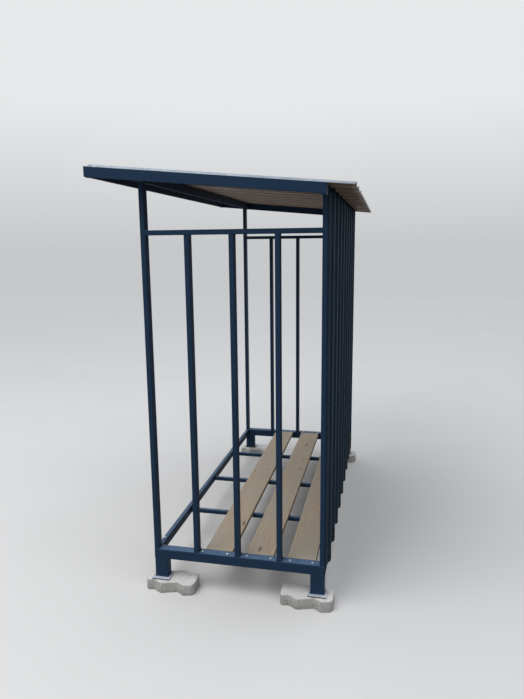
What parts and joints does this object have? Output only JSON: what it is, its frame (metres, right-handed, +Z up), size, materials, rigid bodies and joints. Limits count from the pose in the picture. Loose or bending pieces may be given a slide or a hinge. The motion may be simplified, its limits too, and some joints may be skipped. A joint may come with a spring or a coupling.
{
  "type": "log store",
  "caption": "Open-fronted log store: steel-tube frame with barred ends, ribbed sheet back and lean-to roof, on feet set on pavers.",
  "frame": {"origin": "on the ground, in the middle of the plan", "axes": "+X along the length towards the near end, +Y towards the clad back, +Z up; the open side faces -Y"},
  "size_m": [1.93, 1.056, 1.8413],
  "materials": {
    "frame_paint": "satin blue-grey paint on steel tube",
    "wall_coating": "matt blue-grey coated ribbed sheet",
    "roof_zinc": "aluminium-zinc coated ribbed sheet, dull",
    "plate_steel": "zinc-grey steel plate",
    "paver_concrete": "rough grey concrete",
    "board_wood": "sawn weathered softwood"
  },
  "bodies": {
    "root": {"back_base": "frame_paint", "back_beam": "frame_paint", "base_plate_far_back": "plate_steel", "base_plate_far_front": "plate_steel", "base_plate_near_back": "plate_steel", "base_plate_near_front": "plate_steel", "end_bar_1_far": "frame_paint", "end_bar_1_near": "frame_paint", "end_bar_2_far": "frame_paint", "end_bar_2_near": "frame_paint", "end_bar_3_far": "frame_paint", "end_bar_3_near": "frame_paint", "end_base_far": "frame_paint", "end_base_near": "frame_paint", "end_rail_far": "frame_paint", "end_rail_near": "frame_paint", "end_strip_far": "frame_paint", "end_strip_near": "frame_paint", "floor_bearer_1": "frame_paint", "floor_bearer_2": "frame_paint", "floor_bearer_3": "frame_paint", "floor_board_1": "board_wood", "floor_board_2": "board_wood", "floor_board_3": "board_wood", "foot_far_back": "frame_paint", "foot_far_front": "frame_paint", "foot_near_back": "frame_paint", "foot_near_front": "frame_paint", "front_base": "frame_paint", "front_beam": "frame_paint", "paver_far_back": "paver_concrete", "paver_far_front": "paver_concrete", "paver_near_back": "paver_concrete", "paver_near_front": "paver_concrete", "post_far_back": "frame_paint", "post_far_front": "frame_paint", "post_near_back": "frame_paint", "post_near_front": "frame_paint", "rafter_far": "frame_paint", "rafter_near": "frame_paint", "roof_edge": "frame_paint", "roof_sheet": "roof_zinc", "wall_girt": "frame_paint", "wall_sheet": "wall_coating"}
  },
  "joints": []
}
